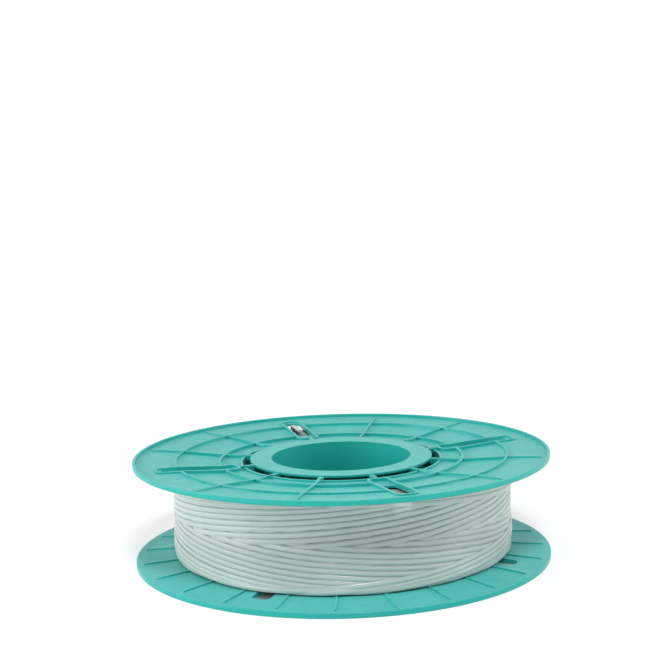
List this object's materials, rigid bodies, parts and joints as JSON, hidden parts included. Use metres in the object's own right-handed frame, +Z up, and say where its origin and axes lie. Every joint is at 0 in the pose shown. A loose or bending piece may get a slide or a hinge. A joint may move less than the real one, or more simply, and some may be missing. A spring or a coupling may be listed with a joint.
{
  "type": "ribbon spool",
  "caption": "Flanged plastic spool lying flat, with a large plain bore, ribbed and slotted flanges, wound full of flat white tie ribbon.",
  "frame": {"origin": "centre of the bore on the bottom flange's outer face, where the spool rests", "axes": "+Z up along the bore; +X and +Y across the flanges, with the view that shows two bottom slots at -Y"},
  "size_m": [0.246, 0.246, 0.062],
  "materials": {
    "spool_plastic": "satin injection-moulded plastic, teal",
    "ribbon": "satin white plastic ribbon over a thin core wire"
  },
  "bodies": {
    "root": {"bottom_flange": "spool_plastic", "top_flange": "spool_plastic", "barrel": "spool_plastic", "bore_sleeve": "spool_plastic", "ribbon_pack": "ribbon", "ribbon_outer_turns": "ribbon", "ribbon_tail": "ribbon"}
  },
  "joints": []
}
